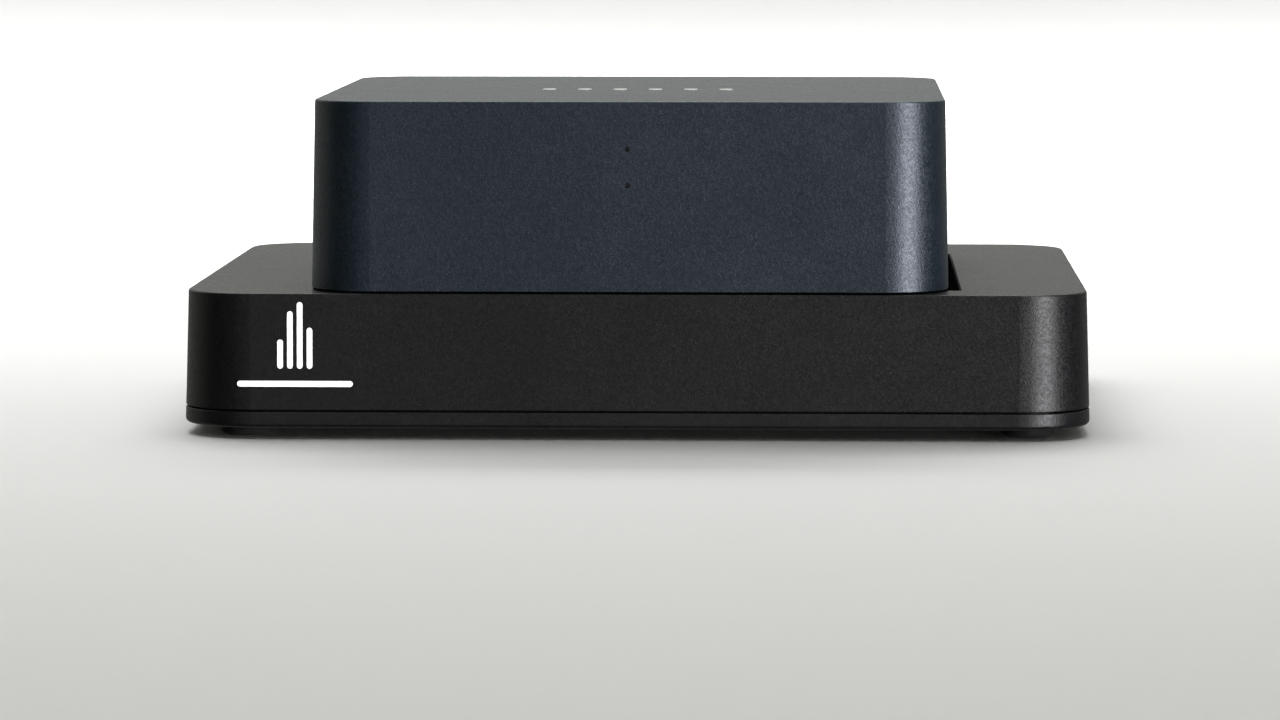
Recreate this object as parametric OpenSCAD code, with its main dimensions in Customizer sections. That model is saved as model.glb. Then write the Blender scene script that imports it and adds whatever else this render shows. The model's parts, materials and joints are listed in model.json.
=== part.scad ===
// Two-tier Bluetooth audio receiver: a flat control dock with an open air bay in its
// top, and a receiver module that stands over the bay and lifts off.
// Frame: origin on the ground under the dock's centre, +X to the right, +Z up.
// The front faces -Y and the sockets face +Y.

/* [Dock] */
// Width of the dock at its foot line
dock_w = 200; // [196:1:210]
// Depth of the dock at its foot line
dock_d = 160; // [158:1:170]
// Height of the dock's body above its feet
dock_h = 29.5; // [28.5:0.5:32]
// Corner radius of the dock seen from above
dock_r = 16; // [12:1:20]
// How far each side leans in between foot line and top
dock_draft = 0.85; // [0.3:0.05:1]
// Height of the rubber feet
foot_h = 2.5; // [2:0.5:3]
// Radius of the rubber feet
foot_r = 6; // [5:0.5:7]
// Height of the strip of bottom cover that shows
cover_h = 3.5; // [3.5:0.1:4]
// Height of the shadow gap above the strip
seam_h = 0.4; // [0.2:0.1:0.5]

/* [Air bay] */
// Width of the bay between its side walls
bay_w = 142.6; // [142.2:0.2:145]
// Length of the bay from front to back
bay_d = 112.5; // [108:0.5:114]
// Distance from the dock's front to the bay's front edge
bay_setback = 13.5; // [13:0.5:15]
// Depth of the bay's floor below the dock's top
bay_depth = 14; // [12:0.5:14.5]

/* [Receiver module] */
// Width of the module at its base
module_w = 140.4; // [140:0.2:141]
// Depth of the module at its base
module_d = 140.4; // [140:0.2:141]
// Height of the module's housing
module_h = 41.6; // [40:0.4:46]
// Corner radius of the module seen from above
module_r = 14; // [12:0.5:16]
// How far each side of the module leans in towards the top
module_draft = 0.85; // [0.5:0.05:1]
// Gap between the module's housing and the dock's top
module_gap = 0.4; // [0.3:0.1:0.6]
// How far the module stands to the right of the dock's centre
module_shift_x = -1.5; // [-1.6:0.1:0]
// How far the module stands behind the dock's centre
module_shift_y = -9; // [-9.2:0.1:-8.5]
// Radius of the rounded top edges of both housings
edge_r = 0.5; // [0.3:0.1:1]
// Radius of the lower edges of both housings and of the strip's upper edge
lower_edge_r = 0.2; // [0.1:0.05:0.3]

/* [Sockets and buttons] */
// Outer radius of the phono sleeves
phono_r = 4.15; // [4.1:0.05:4.2]
// Length of each phono sleeve outside the rear panel
phono_reach = 8; // [7:0.5:9]
// Bore radius of the small round jacks, for a 3.5 mm plug
jack_bore_r = 1.8; // [1.77:0.01:1.85]
// Travel of the push buttons, left clear behind them
button_travel = 0.6; // [0.4:0.1:0.7]

/* [Hidden] */
$fn = 64;

// Shell thickness, board thickness and the play left around inset panels
wall = 2.2;
board_t = 1.6;
play = 0.15;

// Dock levels, from the ground up
dock_top = foot_h + dock_h;
cover_floor = foot_h + 2;
cover_top = foot_h + cover_h;
shell_z = cover_top + seam_h;
dock_board_z = 8;
dock_board_top = dock_board_z + board_t;
dock_slope = dock_draft / dock_h;
socket_z = 13.1;
dock_panel_y = dock_d / 2 - 1;
bay_y = -dock_d / 2 + bay_setback + bay_d / 2;
rim_chamfer = 0.35;
tray_wall = 1.6;
tray_floor = dock_top - bay_depth;
flange_z = 24.5;
tray_screw_x = bay_w / 2 + 5.4;
dock_screw_x = dock_w / 2 - 16;
dock_screw_y = 50;

// Module levels, counted from the lower edge of its housing
module_z = dock_top + module_gap;
base_z = 0.2;
base_t = 2;
board_z = 6.2;
board_top = board_z + board_t;
module_panel_y = module_d / 2 - 1.2;
panel_t = 1.5;
window_w = 112;
window_h = 28.4;
boss_x = 62;
boss_y = 60;
light_high_z = module_h - 10.4;
light_low_z = module_h - 18.3;

// Places of the sockets across the module's rear panel
usb_x = -51;
lan_x = -36.5;
pair_x = -24.3;
trigger_jack_x = -17;
optical_x = [-7, 4.8];
coax_x = 17;
stacks_x = [30.5, 44.5];
phono_low_z = board_top + 6;
phono_high_z = phono_low_z + 14;
phono_coax = [coax_x, phono_low_z];
phono_left = [for (x = stacks_x) [x, phono_high_z]];
phono_right = [for (x = stacks_x) [x, phono_low_z]];
phono_all = concat([phono_coax], phono_left, phono_right);
phono_back_y = module_panel_y - 9;
phono_seat_r = phono_r - 0.3;
lan_size = [16, 21.5, 13.5];
optical_size = [9.7, 13.5, 10];
optical_mid_z = board_top + 4.6;
flap_hinge_z = optical_mid_z + 3.3;
flap_hinge_y = module_panel_y - 0.5;
button_z = 12.6;
trigger_jack_z = board_top + 3.5;

// Places of the sockets across the dock's rear panel
inlet_x = -34;
outlet_x = -16;
setup_x = 0;
remote_x = [14, 26];
outlet_size = [13.1, 16, 5.7];

// Colours
module_colour = [0.19, 0.22, 0.25];
dock_colour = [0.13, 0.13, 0.14];
rubber_colour = [0.07, 0.07, 0.07];
board_colour = [0.05, 0.22, 0.14];
steel_colour = [0.72, 0.72, 0.7];
chip_colour = [0.06, 0.06, 0.07];
gold_colour = [0.83, 0.66, 0.3];
socket_colour = [0.1, 0.1, 0.11];

// ---- Shapes that repeat ----

// Points along an arc
function arc(centre, radius, start, stop, steps = 6) =
    [for (i = [0:steps]) let (t = start + (stop - start) * i / steps)
        [centre[0] + radius * cos(t), centre[1] + radius * sin(t)]];

// Right half of a wall's outline: its foot stands at u, it leans in by draft over h,
// and its top and base edges are rounded.
function wall_outline(u, h, draft, top_r, base_r) =
    let (lean = atan(draft / h),
         top_u = u - (top_r + sin(lean) * (h - top_r)) / cos(lean),
         base_u = u - base_r * (1 + sin(lean)) / cos(lean))
    concat(
        base_r > 0 ? arc([base_u, base_r], base_r, -90, lean) : [[u, 0]],
        top_r > 0 ? arc([top_u, h - top_r], top_r, lean, 90) : [[u - draft, h]]);

// A block on z = 0 with upright rounded corners, leaning sides and rounded edges
module drafted_block(w, d, h, r, draft = 0, top_r = 0, base_r = 0) {
    corner_x = w / 2 - r;
    corner_y = d / 2 - r;
    corner = wall_outline(r, h, draft, top_r, base_r);
    for (x = [-1, 1], y = [-1, 1])
        translate([x * corner_x, y * corner_y, 0])
            rotate([0, 0, x > 0 ? (y > 0 ? 0 : -90) : (y > 0 ? 90 : 180)])
                rotate_extrude(angle = 90, $fn = 96)
                    polygon(concat([[0, 0]], corner, [[0, h]]));
    translate([-corner_x, 0, 0])
        rotate([90, 0, 90])
            linear_extrude(2 * corner_x)
                both_sides(corner, corner_y);
    translate([0, corner_y, 0])
        rotate([90, 0, 0])
            linear_extrude(2 * corner_y)
                both_sides(corner, corner_x);
}

// The full outline made of a half outline moved out by shift and its mirror image
module both_sides(half, shift) {
    last = len(half) - 1;
    polygon(concat(
        [for (p = half) [p[0] + shift, p[1]]],
        [for (i = [0:last]) [-half[last - i][0] - shift, half[last - i][1]]]));
}

// A box between two corners
module box(low, high) {
    translate(low)
        cube(high - low);
}

// A cylinder along +Y from y0 to y1
module rod_y(x, z, y0, y1, r) {
    translate([x, y0, z])
        rotate([-90, 0, 0])
            cylinder(r = r, h = y1 - y0);
}

// A flat bar with round ends, centred on the origin
module rounded_bar(length, width, t) {
    end = width / 2;
    run = length / 2 - end;
    linear_extrude(t)
        polygon(concat(
            arc([run, 0], end, -90, 90, 10),
            arc([-run, 0], end, 90, 270, 10)));
}

// A cross-head screw on z = 0 with its shank upwards and its head below
module screw(shank_r, shank_l, head_r, head_h) {
    difference() {
        union() {
            cylinder(r = shank_r, h = shank_l);
            translate([0, 0, -head_h])
                cylinder(r = head_r, h = head_h);
        }
        for (turn = [0, 90])
            rotate([0, 0, turn])
                box([-head_r * 0.6, -0.25, -head_h - 1], [head_r * 0.6, 0.25, -head_h + 0.7]);
    }
}

// A chip with its row of legs shown as a thin skirt
module chip(x, y, z, w, d, h) {
    box([x - w / 2, y - d / 2, z], [x + w / 2, y + d / 2, z + h]);
    box([x - w / 2 - 0.8, y - d / 2 + 0.8, z], [x + w / 2 + 0.8, y + d / 2 - 0.8, z + 0.2]);
}

// A can capacitor with the groove round its foot
module can_capacitor(x, y, z, r, h) {
    groove = 0.25;
    translate([x, y, z])
        rotate_extrude($fn = 48)
            polygon([[0, 0], [r, 0], [r, 1.6], [r - groove, 1.9], [r, 2.2],
                [r, h - 0.4], [r - 0.4, h], [0, h]]);
}

// A small round lamp body along -Y with a domed tip
module lamp(x, z, base_y, length, r) {
    translate([x, base_y, z])
        rotate([90, 0, 0])
            rotate_extrude($fn = 48)
                polygon(concat([[0, 0], [r + 0.4, 0], [r + 0.4, 1], [r, 1]],
                    arc([0, length - r], r, 0, 90, 10)));
}

// A push button's cap, its face just proud of the panel at face_y
module push_button(x, z, face_y) {
    rod_y(x, z, face_y - 3.2, face_y + 0.6, 2);
    rod_y(x, z, face_y - 3.2, face_y - panel_t - 0.3, 3);
}

// A switch's plunger, which stands in the switch and meets the cap
module push_plunger(x, z, face_y) {
    rod_y(x, z, face_y - 5.7, face_y - 3.2, 1);
}

// A push switch, with a guide hole for its plunger, on legs that reach down to foot_z
module push_switch(x, z, face_y, foot_z) {
    half = 3;
    mouth_y = face_y - 4.8;
    difference() {
        union() {
            box([x - half, mouth_y - 5, z - half], [x + half, mouth_y, z + half]);
            for (side = [-1, 1])
                box([x + side * 2.4 - 0.4, mouth_y - 3, foot_z],
                    [x + side * 2.4 + 0.4, mouth_y - 2, z]);
        }
        rod_y(x, z, mouth_y - 1.5 - button_travel, mouth_y + 1, 1.08);
    }
}

// A small round jack: block, nose through the panel and blind bore
module round_jack(x, z, face_y, foot_z) {
    difference() {
        union() {
            box([x - 3.2, face_y - 14, foot_z], [x + 3.2, face_y - panel_t - 0.2, z + 3.2]);
            rod_y(x, z, face_y - 4, face_y + 0.4, 2.9);
        }
        rod_y(x, z, face_y - 11.6, face_y + 1, jack_bore_r);
    }
}

// The outside of a small flat power socket's shell, along Y
module flat_socket(x, z, y0, y1, w, h) {
    translate([x, y1, z])
        rotate([90, 0, 0])
            drafted_block(w, h, y1 - y0, h / 2 - 0.15);
}

// The shell of a small flat power socket
module flat_socket_shell(x, z, face_y) {
    difference() {
        flat_socket(x, z, face_y - 7.4, face_y + 0.3, 8.94, 3.26);
        flat_socket(x, z, face_y - 6.6, face_y + 1, 8.34, 2.66);
    }
}

// The plastic foot and tongue of a small flat power socket
module flat_socket_core(x, z, face_y, foot_z) {
    box([x - 3.35, face_y - 6.6, z - 0.35], [x + 3.35, face_y - 0.8, z + 0.35]);
    if (z - 1.63 - foot_z > 0.3)
        box([x - 4.4, face_y - 7.4, foot_z], [x + 4.4, face_y - panel_t - 0.3, z - 1.63]);
}

// Puts the module's own pieces where it stands on the dock
module on_dock() {
    translate([module_shift_x, module_shift_y, module_z])
        children();
}

// ---- Dock ----

// Top and sides in one moulding, open below, with the bay's opening in its top
module dock_top_shell() {
    rise = shell_z - foot_h;
    shrink = 2 * dock_slope * rise;
    height = dock_top - shell_z;
    draft = dock_slope * height;
    color(dock_colour)
        difference() {
            union() {
                difference() {
                    translate([0, 0, shell_z])
                        drafted_block(dock_w - shrink, dock_d - shrink, height,
                            dock_r - shrink / 2, draft, edge_r, lower_edge_r);
                    translate([0, 0, shell_z - 1])
                        drafted_block(dock_w - shrink - 2 * wall, dock_d - shrink - 2 * wall,
                            height - wall + 1, dock_r - shrink / 2 - wall, draft);
                }
                dock_bosses();
                tray_bosses();
            }
            // Opening over the bay, with a narrow chamfer round its rim
            translate([0, bay_y, dock_top - wall - 1])
                drafted_block(bay_w, bay_d, wall + 2, 1.2);
            translate([0, bay_y, dock_top - rim_chamfer])
                drafted_block(bay_w, bay_d, 1, 1.2, -1);
            // Window for the rear panel
            box([-46, dock_d / 2 - 6, 8.8], [46, dock_d / 2 + 1, 18]);
        }
}

// Posts that the dock's four long screws hold, with their pilot holes
module dock_bosses() {
    for (x = [-1, 1], y = [-1, 1])
        translate([x * dock_screw_x, y * dock_screw_y, shell_z])
            difference() {
                cylinder(r = 3.4, h = dock_top - shell_z - 1);
                translate([0, 0, -1])
                    cylinder(r = 1.2, h = 13);
            }
}

// Short posts under the dock's top that hold the tray
module tray_bosses() {
    for (x = [-1, 1], y = [-1, 1])
        translate([x * tray_screw_x, bay_y + y * 40, flange_z + 1.5])
            difference() {
                cylinder(r = 2.6, h = dock_top - flange_z - 2.5);
                translate([0, 0, -1])
                    cylinder(r = 0.9, h = 5);
            }
}

// Floor of the dock, with the strip that shows below the shadow gap
module dock_bottom_cover() {
    inset = wall + dock_slope * (shell_z - foot_h) + 0.2;
    tongue_t = 1.2;
    color(dock_colour)
        difference() {
            union() {
                difference() {
                    translate([0, 0, foot_h])
                        drafted_block(dock_w, dock_d, cover_h, dock_r,
                            dock_slope * cover_h, lower_edge_r, 1);
                    translate([0, 0, cover_floor])
                        drafted_block(dock_w - 2 * inset - 2 * tongue_t,
                            dock_d - 2 * inset - 2 * tongue_t, cover_h,
                            dock_r - inset - tongue_t);
                }
                // Tongue that stands inside the shell behind the shadow gap
                difference() {
                    translate([0, 0, cover_top - 0.5])
                        drafted_block(dock_w - 2 * inset, dock_d - 2 * inset, 2.3,
                            dock_r - inset);
                    translate([0, 0, cover_top - 1.5])
                        drafted_block(dock_w - 2 * inset - 2 * tongue_t,
                            dock_d - 2 * inset - 2 * tongue_t, 5,
                            dock_r - inset - tongue_t);
                }
                for (x = [-1, 1], y = [-1, 1]) {
                    translate([x * dock_screw_x, y * dock_screw_y, cover_floor - 0.5])
                        cylinder(r = 4.6, h = shell_z - cover_floor + 0.3);
                    translate([x * 56, y * 62, cover_floor - 0.5])
                        cylinder(r = 3, h = dock_board_z - cover_floor + 0.5);
                }
            }
            for (x = [-1, 1], y = [-1, 1]) {
                translate([x * (dock_w / 2 - 14), y * (dock_d / 2 - 14), foot_h - 1])
                    cylinder(r = foot_r + 0.1, h = 1.8);
                translate([x * dock_screw_x, y * dock_screw_y, foot_h - 1]) {
                    cylinder(r = 3.1, h = cover_floor - foot_h + 1);
                    cylinder(r = 1.5, h = 8);
                }
                translate([x * 56, y * 62, cover_floor])
                    cylinder(r = 1.05, h = 8);
            }
            for (i = [-4:4])
                box([i * 8 - 1.5, -20, foot_h - 1], [i * 8 + 1.5, 16, cover_floor + 1]);
        }
}

// Liner of the air bay: a tub with a flange under the dock's top and slots in its floor
module bay_tray() {
    inner_w = bay_w + 0.4;
    inner_d = bay_d + 0.4;
    base = tray_floor - tray_wall;
    color(dock_colour)
        translate([0, bay_y, 0])
            difference() {
                union() {
                    translate([0, 0, base])
                        drafted_block(inner_w + 2 * tray_wall, inner_d + 2 * tray_wall,
                            dock_top - wall - base, 3);
                    translate([0, 0, flange_z])
                        drafted_block(inner_w + 16, inner_d + 10, 1.5, 4);
                }
                translate([0, 0, tray_floor])
                    drafted_block(inner_w, inner_d, dock_top, 1.4);
                for (i = [-5:5])
                    box([i * 11 - 1.5, -36, base - 1], [i * 11 + 1.5, 36, tray_floor + 1]);
                for (x = [-1, 1], y = [-1, 1])
                    translate([x * tray_screw_x, y * 40, flange_z - 1])
                        cylinder(r = 1.05, h = 4);
            }
}

module tray_screws() {
    color(steel_colour)
        for (x = [-1, 1], y = [-1, 1])
            translate([x * tray_screw_x, bay_y + y * 40, flange_z])
                screw(0.88, 5, 1.9, 1.3);
}

module dock_feet() {
    color(rubber_colour)
        for (x = [-1, 1], y = [-1, 1])
            translate([x * (dock_w / 2 - 14), y * (dock_d / 2 - 14), 0])
                rotate_extrude($fn = 64)
                    polygon([[0, 0], [foot_r - 0.5, 0], [foot_r, 0.5],
                        [foot_r, foot_h + 0.8], [0, foot_h + 0.8]]);
}

module dock_screws() {
    color(steel_colour)
        for (x = [-1, 1], y = [-1, 1])
            translate([x * dock_screw_x, y * dock_screw_y, cover_floor])
                screw(1.15, 12, 2.8, 1.6);
}

// Rear panel with its cut-outs, set into the shell's window
module dock_rear_panel() {
    inner_y = dock_panel_y - panel_t;
    color(socket_colour)
        difference() {
            box([-46 + play, inner_y, 8.8 + play], [46 - play, dock_panel_y, 18 - play]);
            flat_socket(inlet_x, socket_z, inner_y - 1, dock_panel_y + 1, 9.3, 3.6);
            box([outlet_x - outlet_size[0] / 2 - 0.2, inner_y - 1, socket_z - outlet_size[2] / 2 - 0.2],
                [outlet_x + outlet_size[0] / 2 + 0.2, dock_panel_y + 1, socket_z + outlet_size[2] / 2 + 0.2]);
            rod_y(setup_x, socket_z, inner_y - 1, dock_panel_y + 1, 2.3);
            for (x = remote_x)
                rod_y(x, socket_z, inner_y - 1, dock_panel_y + 1, 3.1);
        }
}

// Plain generic mark on the dock's front: level bars over a long bar
module front_mark() {
    bar_heights = [6.4, 12.6, 14.6, 9];
    bar_pitch = 2.15;
    bar_w = 1.25;
    foot = 13;
    proud = 0.12;
    color("white")
        translate([-dock_w / 2 + 25.8, -dock_d / 2, foot_h])
            rotate([-atan(dock_slope), 0, 0])
                rotate([90, 0, 0]) {
                    for (i = [0:3])
                        translate([(i - 1.5) * bar_pitch, foot + bar_heights[i] / 2, 0])
                            rotate([0, 0, 90])
                                rounded_bar(bar_heights[i], bar_w, proud);
                    translate([0, foot - 3.3, 0])
                        rounded_bar(25.4, 1.3, proud);
                }
}

module control_board() {
    color(board_colour)
        difference() {
            box([-62, -72, dock_board_z], [62, 76.9, dock_board_top]);
            for (x = [-1, 1], y = [-1, 1])
                translate([x * 56, y * 62, dock_board_z - 1])
                    cylinder(r = 1.4, h = board_t + 2);
        }
}

module control_board_screws() {
    color(steel_colour)
        for (x = [-1, 1], y = [-1, 1])
            translate([x * 56, y * 62, dock_board_top])
                mirror([0, 0, 1])
                    screw(1, 4.6, 2.3, 1.6);
}

module control_processor() {
    color(chip_colour)
        chip(0, 12, dock_board_top, 12, 12, 1.4);
}

module power_inductors() {
    color(chip_colour)
        for (x = [-42, -26])
            translate([x, 46, dock_board_top])
                drafted_block(12, 12, 5.2, 2.5, 0.2, 0.6);
}

module supply_capacitors() {
    color(steel_colour)
        for (x = [-50, -40, 46])
            can_capacitor(x, 66 - (x > 0 ? 4 : 0), dock_board_top, 4, 11.5);
}

module infrared_emitters() {
    color([0.25, 0.2, 0.3])
        for (x = [-40, 0, 40])
            lamp(x, socket_z - 0.4, -67.5, 8.2, 2.5);
}

module infrared_receiver() {
    color(chip_colour)
        union() {
            box([17, -70, dock_board_top], [23, -66, socket_z + 2.8]);
            lamp(20, socket_z - 0.2, -69.5, 4.4, 2.4);
        }
}

module power_inlet_shell() {
    color(steel_colour)
        flat_socket_shell(inlet_x, socket_z, dock_panel_y);
}

module power_inlet_core() {
    color(socket_colour)
        flat_socket_core(inlet_x, socket_z, dock_panel_y, dock_board_top);
}

module power_outlet_shell() {
    half_w = outlet_size[0] / 2;
    half_h = outlet_size[2] / 2;
    skin = 0.35;
    color(steel_colour)
        difference() {
            box([outlet_x - half_w, dock_panel_y - outlet_size[1], socket_z - half_h],
                [outlet_x + half_w, dock_panel_y + 0.3, socket_z + half_h]);
            box([outlet_x - half_w + skin, dock_panel_y - outlet_size[1] + skin, socket_z - half_h + skin],
                [outlet_x + half_w - skin, dock_panel_y + 1, socket_z + half_h - skin]);
        }
}

// Tongue inside the power outlet and the foot that carries the outlet
module power_outlet_core() {
    half_w = outlet_size[0] / 2;
    half_h = outlet_size[2] / 2;
    rear_y = dock_panel_y - outlet_size[1] + 0.35;
    color(socket_colour) {
        box([outlet_x - 5.5, rear_y, socket_z], [outlet_x + 5.5, dock_panel_y - 1, socket_z + 1.8]);
        box([outlet_x - half_w, rear_y, dock_board_top],
            [outlet_x + half_w, dock_panel_y - panel_t - 0.3, socket_z - half_h]);
    }
}

module remote_jacks() {
    color(socket_colour)
        for (x = remote_x)
            round_jack(x, socket_z, dock_panel_y, dock_board_top);
}

module setup_switch() {
    color(chip_colour)
        push_switch(setup_x, socket_z, dock_panel_y, dock_board_top);
}

module setup_button() {
    color(socket_colour)
        push_button(setup_x, socket_z, dock_panel_y);
}

module setup_plunger() {
    color(rubber_colour)
        push_plunger(setup_x, socket_z, dock_panel_y);
}

// ---- Receiver module: housing ----

// Top and sides of the module, open below, with the rear window and two pinholes
module module_housing() {
    color(module_colour)
        on_dock()
            difference() {
                union() {
                    difference() {
                        drafted_block(module_w, module_d, module_h, module_r,
                            module_draft, edge_r, lower_edge_r);
                        translate([0, 0, -1])
                            drafted_block(module_w - 2 * wall, module_d - 2 * wall,
                                module_h - wall + 1, module_r - wall, module_draft);
                    }
                    module_bosses();
                }
                box([-window_w / 2, module_d / 2 - 8, board_z - 0.2],
                    [window_w / 2, module_d / 2 + 1, board_z - 0.2 + window_h]);
                for (z = [light_high_z, light_low_z])
                    rod_y(0, z, -module_d / 2 - 1, -module_d / 2 + 5, 0.55);
            }
}

// Posts that the module's base is screwed to, with their pilot holes
module module_bosses() {
    foot = base_z + base_t + 0.1;
    for (x = [-1, 1], y = [-1, 1])
        translate([x * boss_x, y * boss_y, foot])
            difference() {
                cylinder(r = 3, h = module_h - foot - 1);
                translate([0, 0, -1])
                    cylinder(r = 1.05, h = 11);
            }
}

// Floor plate with air slots, board posts, screw seats and recesses for the pads
module module_base() {
    inset = wall + 0.25;
    color(socket_colour)
        on_dock()
            difference() {
                union() {
                    translate([0, 0, base_z])
                        drafted_block(module_w - 2 * inset, module_d - 2 * inset, base_t,
                            module_r - inset);
                    for (x = [-1, 1], y = [-58, 50])
                        translate([x * 50, y, base_z + 1])
                            cylinder(r = 2.8, h = board_z - base_z - 1);
                }
                for (x = [-1, 1], y = [-1, 1]) {
                    translate([x * boss_x, y * boss_y, base_z - 1]) {
                        cylinder(r = 1.3, h = base_t + 2);
                        cylinder(r = 2.6, h = 2);
                    }
                    translate([x * 50, y * 62.5, base_z - 1])
                        cylinder(r = 5.1, h = 1.8);
                }
                for (x = [-1, 1], y = [-58, 50])
                    translate([x * 50, y, base_z + 1.2])
                        cylinder(r = 0.95, h = board_z);
                for (i = [-6:6])
                    box([i * 6 - 1.2, -34, base_z - 1], [i * 6 + 1.2, 22, base_z + base_t + 1]);
            }
}

module module_pads() {
    color(rubber_colour)
        on_dock()
            for (x = [-1, 1], y = [-1, 1])
                translate([x * 50, y * 62.5, -module_gap])
                    cylinder(r = 5, h = base_z + 0.8 + module_gap);
}

module module_screws() {
    color(steel_colour)
        on_dock()
            for (x = [-1, 1], y = [-1, 1])
                translate([x * boss_x, y * boss_y, base_z + 1])
                    screw(1, 9, 2.4, 0.9);
}

// Rear panel with its cut-outs, set into the housing's window
module module_rear_panel() {
    inner_y = module_panel_y - panel_t;
    low_z = board_z - 0.2;
    color(socket_colour)
        on_dock()
            difference() {
                box([-window_w / 2 + play, inner_y, low_z + play],
                    [window_w / 2 - play, module_panel_y, low_z + window_h - play]);
                panel_cutouts(inner_y - 1, module_panel_y + 1);
            }
}

// Everything that is cut through the module's rear panel
module panel_cutouts(y0, y1) {
    slack = 0.2;
    flat_socket(usb_x, board_top + 1.73, y0, y1, 9.3, 3.6);
    box([lan_x - lan_size[0] / 2 - slack, y0, board_top - slack],
        [lan_x + lan_size[0] / 2 + slack, y1, board_top + lan_size[2] + slack]);
    rod_y(pair_x, button_z, y0, y1, 2.3);
    rod_y(trigger_jack_x, trigger_jack_z, y0, y1, 3.1);
    for (x = optical_x)
        box([x - optical_size[0] / 2 - slack, y0, optical_mid_z - 4.6],
            [x + optical_size[0] / 2 + slack, y1, optical_mid_z + 5.4 + slack]);
    rod_y(coax_x, phono_low_z, y0, y1, 5.1);
    for (x = stacks_x, z = [phono_low_z, phono_high_z])
        rod_y(x, z, y0, y1, 5.1);
}

// Plain generic mark in the middle of the module's top: a row of short bars
module top_mark() {
    bars = 6;
    pitch = 8.1;
    color([0.75, 0.76, 0.76])
        on_dock()
            translate([0, -6.5, module_h])
                for (i = [0:bars - 1])
                    translate([(i - (bars - 1) / 2) * pitch, 0, 0])
                        rotate([0, 0, 90])
                            rounded_bar(8, 3, 0.06);
}

// ---- Receiver module: boards and chips ----

module main_board() {
    color(board_colour)
        on_dock()
            difference() {
                box([-55, -66, board_z], [55, 66.5, board_top]);
                for (x = [-1, 1], y = [-58, 50])
                    translate([x * 50, y, board_z - 1])
                        cylinder(r = 1.3, h = board_t + 2);
            }
}

module main_board_screws() {
    color(steel_colour)
        on_dock()
            for (x = [-1, 1], y = [-58, 50])
                translate([x * 50, y, board_top])
                    mirror([0, 0, 1])
                        screw(0.9, 5, 2.2, 1.5);
}

module radio_board() {
    color([0.06, 0.14, 0.3])
        on_dock()
            box([-46, -46, board_top], [-22, -18, board_top + 1]);
}

module radio_shield() {
    color(steel_colour)
        on_dock()
            translate([-34, -30, board_top + 1])
                difference() {
                    drafted_block(20, 18, 2.4, 1, 0.1, 0.3);
                    for (x = [-6:3:6], y = [-4.5, 0, 4.5])
                        translate([x, y, 1.9])
                            cylinder(r = 0.5, h = 2);
                }
}

module radio_antennas() {
    color([0.06, 0.14, 0.3])
        on_dock()
            for (side = [-1, 1])
                translate([side * 66.6, 4, 18])
                    translate([-0.4, -18, -4])
                        cube([0.8, 36, 8]);
}

// Two thin aerial leads, from the radio board up to the aerials
module antenna_leads() {
    r = 0.55;
    low_z = board_top + 2.2;
    color(rubber_colour)
        on_dock()
            for (side = [-1, 1]) {
                bend = [side * 58, -50, low_z];
                lead_stretch([-34 + side * 8, -43.5, low_z], bend, r);
                lead_stretch(bend, [side * 65.2, -10, 18], r);
                translate(bend)
                    sphere(r = r * 1.2, $fn = 24);
            }
}

// A straight round stretch of lead between two points
module lead_stretch(from, to, r) {
    run = to - from;
    translate(from)
        rotate([0, acos(run[2] / norm(run)), atan2(run[1], run[0])])
            cylinder(r = r, h = norm(run), $fn = 24);
}

module main_processor() {
    color(chip_colour)
        on_dock()
            chip(-8, 6, board_top, 19, 19, 1.6);
}

module heat_sink() {
    fin_t = 1.2;
    color([0.6, 0.61, 0.62])
        on_dock()
            translate([-8, 6, board_top + 1.6]) {
                box([-16, -16, 0], [16, 16, 2]);
                for (i = [0:7])
                    translate([-16 + i * (32 - fin_t) / 7, -16, 1.5])
                        cube([fin_t, 32, 9]);
            }
}

module memory_chips() {
    color(chip_colour)
        on_dock()
            for (x = [18, 32])
                chip(x, 6, board_top, 8, 12, 1.1);
}

module audio_chips() {
    color(chip_colour)
        on_dock() {
            chip(22, 30, board_top, 7, 7, 1);
            chip(36, 30, board_top, 5, 6, 1.5);
            chip(48, 30, board_top, 5, 6, 1.5);
        }
}

module filter_capacitors() {
    color(steel_colour)
        on_dock()
            for (x = [18, 27, 36], y = [41, 50])
                can_capacitor(x, y, board_top, 3.15, 11);
}

// Upright board behind the two pinholes, with its two lamps
module light_board() {
    board_y = -65.2;
    color(board_colour)
        on_dock() {
            box([-6, board_y, light_low_z - 5], [6, board_y + 1.2, light_high_z + 4]);
            for (z = [light_low_z, light_high_z])
                box([-1, board_y - 0.7, z - 0.6], [1, board_y, z + 0.6]);
        }
}

// Clear pins that carry the lamps' light into the pinholes
module light_guides() {
    flange_y = -66.9;
    color([0.85, 0.9, 0.92])
        on_dock()
            for (z = [light_low_z, light_high_z]) {
                rod_y(0, z, -68.6, flange_y, 0.5);
                rod_y(0, z, flange_y, flange_y + 0.9, 1.2);
            }
}

module light_ribbon() {
    color([0.85, 0.82, 0.74])
        on_dock()
            box([-3, -64, board_top], [3, -63.6, light_low_z]);
}

// ---- Receiver module: sockets ----

// Plastic blocks on the board that hold the phono sleeves
module phono_blocks() {
    block_y = module_panel_y - 12.4;
    front_y = module_panel_y - panel_t - 0.2;
    color(socket_colour)
        on_dock()
            difference() {
                union() {
                    box([coax_x - 6, block_y, board_top], [coax_x + 6, front_y, board_top + 12.5]);
                    for (x = stacks_x)
                        box([x - 6, block_y, board_top], [x + 6, front_y, board_top + 26.5]);
                    for (p = phono_all)
                        rod_y(p[0], p[1], block_y + 2, module_panel_y + 0.4, 4.9);
                }
                for (p = phono_all)
                    rod_y(p[0], p[1], phono_back_y, module_panel_y + 1, phono_seat_r);
            }
}

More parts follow.
